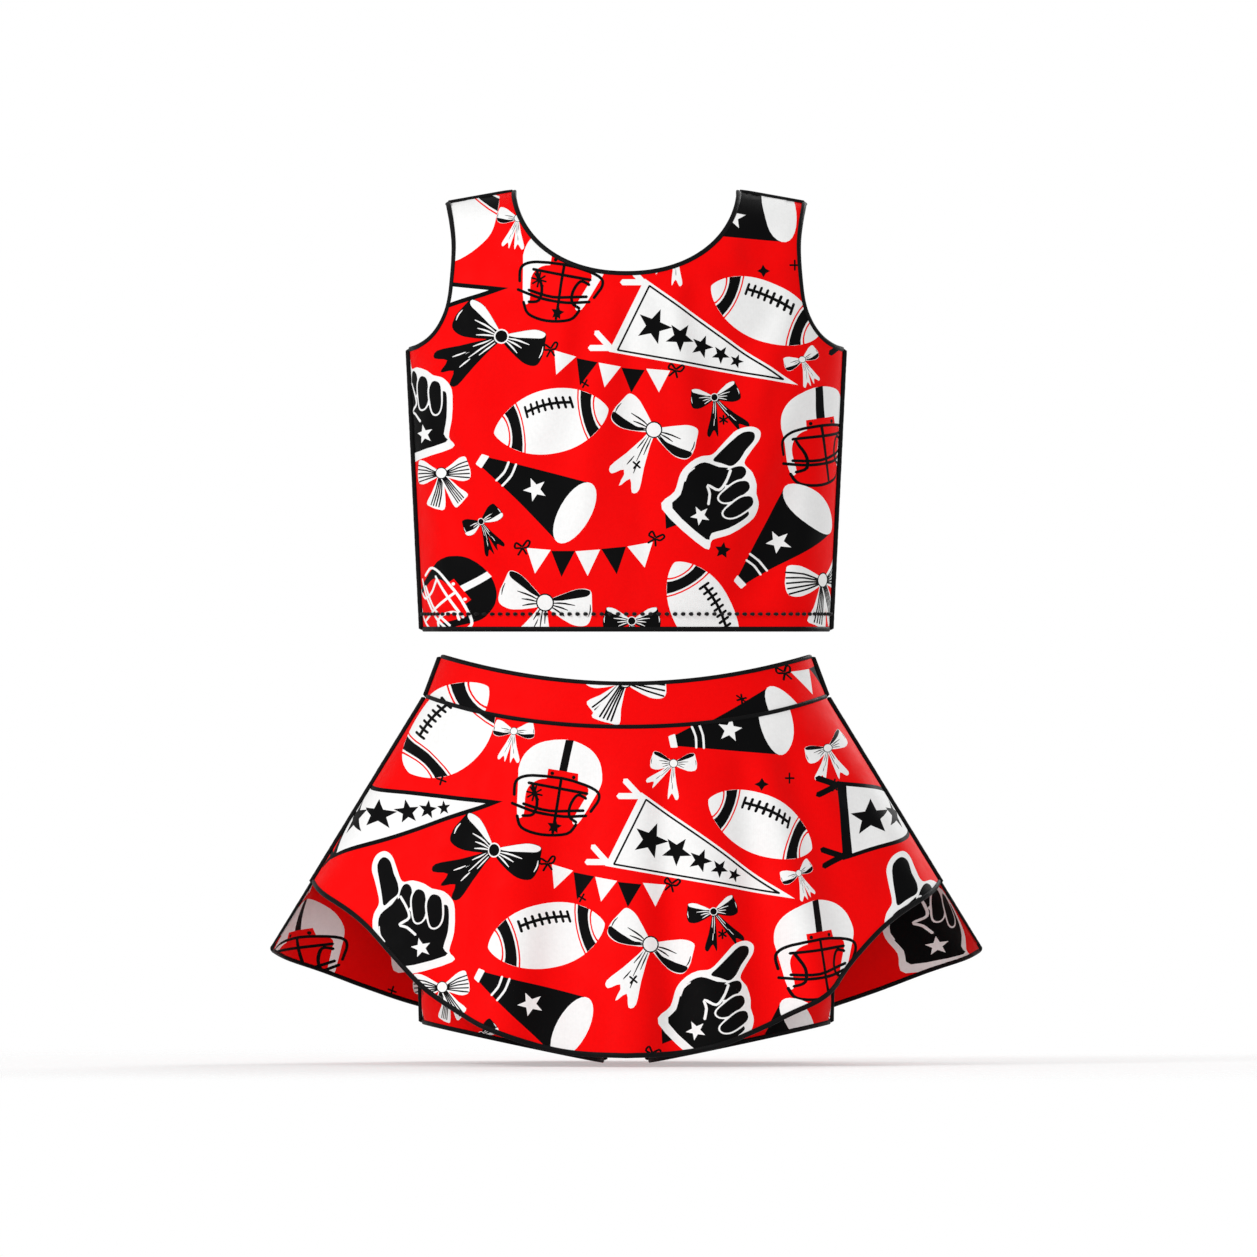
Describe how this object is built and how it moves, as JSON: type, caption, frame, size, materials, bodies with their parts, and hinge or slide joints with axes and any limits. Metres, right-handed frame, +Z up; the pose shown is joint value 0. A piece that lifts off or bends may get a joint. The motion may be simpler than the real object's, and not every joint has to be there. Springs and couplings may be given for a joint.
{
  "type": "two-piece cheer uniform",
  "caption": "Child's sleeveless scoop-neck top and a skort: waistband, flared petal-hem skirt and inner shorts, in a red, white and black sports print.",
  "frame": {"origin": "middle of the uniform's footprint, at the height of the shorts' lowest hem point", "axes": "+Z up, -Y the front of the uniform, +X the wearer's left"},
  "size_m": [0.4624, 0.3, 0.569],
  "materials": {
    "printed_knit": "matt stretch knit, red ground with white and black print",
    "black_binding": "narrow black binding",
    "elastic": "white ribbed elastic",
    "stay_tape": "white twill tape",
    "thread": "black sewing thread"
  },
  "bodies": {
    "skort": {"waistband_front": "printed_knit", "waistband_back": "printed_knit", "waistband_elastic": "elastic", "waistband_facing": "printed_knit", "waistband_top_piping": "black_binding", "waist_seam_piping": "black_binding", "waistband_left_side_piping": "black_binding", "waistband_right_side_piping": "black_binding", "skirt_front_panel": "printed_knit", "skirt_back_panel": "printed_knit", "skirt_left_side_piping": "black_binding", "skirt_right_side_piping": "black_binding", "shorts_left_panel": "printed_knit", "shorts_right_panel": "printed_knit", "shorts_gusset": "printed_knit"},
    "front_petal": {"skirt_front_flap": "printed_knit", "skirt_front_hem_binding": "black_binding"},
    "back_petal": {"skirt_back_flap": "printed_knit", "skirt_back_hem_binding": "black_binding"},
    "left_leg": {"shorts_left_leg": "printed_knit", "shorts_left_leg_binding": "black_binding"},
    "right_leg": {"shorts_right_leg": "printed_knit", "shorts_right_leg_binding": "black_binding"},
    "top": {"top_front_panel": "printed_knit", "top_back_panel": "printed_knit", "top_neck_binding": "black_binding", "top_left_armhole_binding": "black_binding", "top_right_armhole_binding": "black_binding", "top_left_shoulder_piping": "black_binding", "top_right_shoulder_piping": "black_binding", "top_left_shoulder_stay_tape": "stay_tape", "top_right_shoulder_stay_tape": "stay_tape", "top_left_side_piping": "black_binding", "top_right_side_piping": "black_binding", "top_hem_turn_up": "printed_knit", "top_hem_binding": "black_binding", "top_hem_stitching": "thread"}
  },
  "joints": [
    {"name": "front_petal_lift", "type": "hinge", "parent": "skort", "child": "front_petal", "pos_m": [0, -0.1185, 0.1192], "axis": [-1, 0, 0], "range_deg": [0, 40]},
    {"name": "back_petal_lift", "type": "hinge", "parent": "skort", "child": "back_petal", "pos_m": [0, 0.1185, 0.1192], "axis": [1, 0, 0], "range_deg": [0, 40]},
    {"name": "left_leg_swing", "type": "hinge", "parent": "skort", "child": "left_leg", "pos_m": [0.071, 0, 0.15], "axis": [-1, 0, 0], "range_deg": [-20, 25]},
    {"name": "right_leg_swing", "type": "hinge", "parent": "skort", "child": "right_leg", "pos_m": [-0.071, 0, 0.15], "axis": [-1, 0, 0], "range_deg": [-20, 25]},
    {"name": "top_lift", "type": "slide", "parent": "skort", "child": "top", "axis": [0, 0, 1], "range_m": [0, 0.1]}
  ]
}
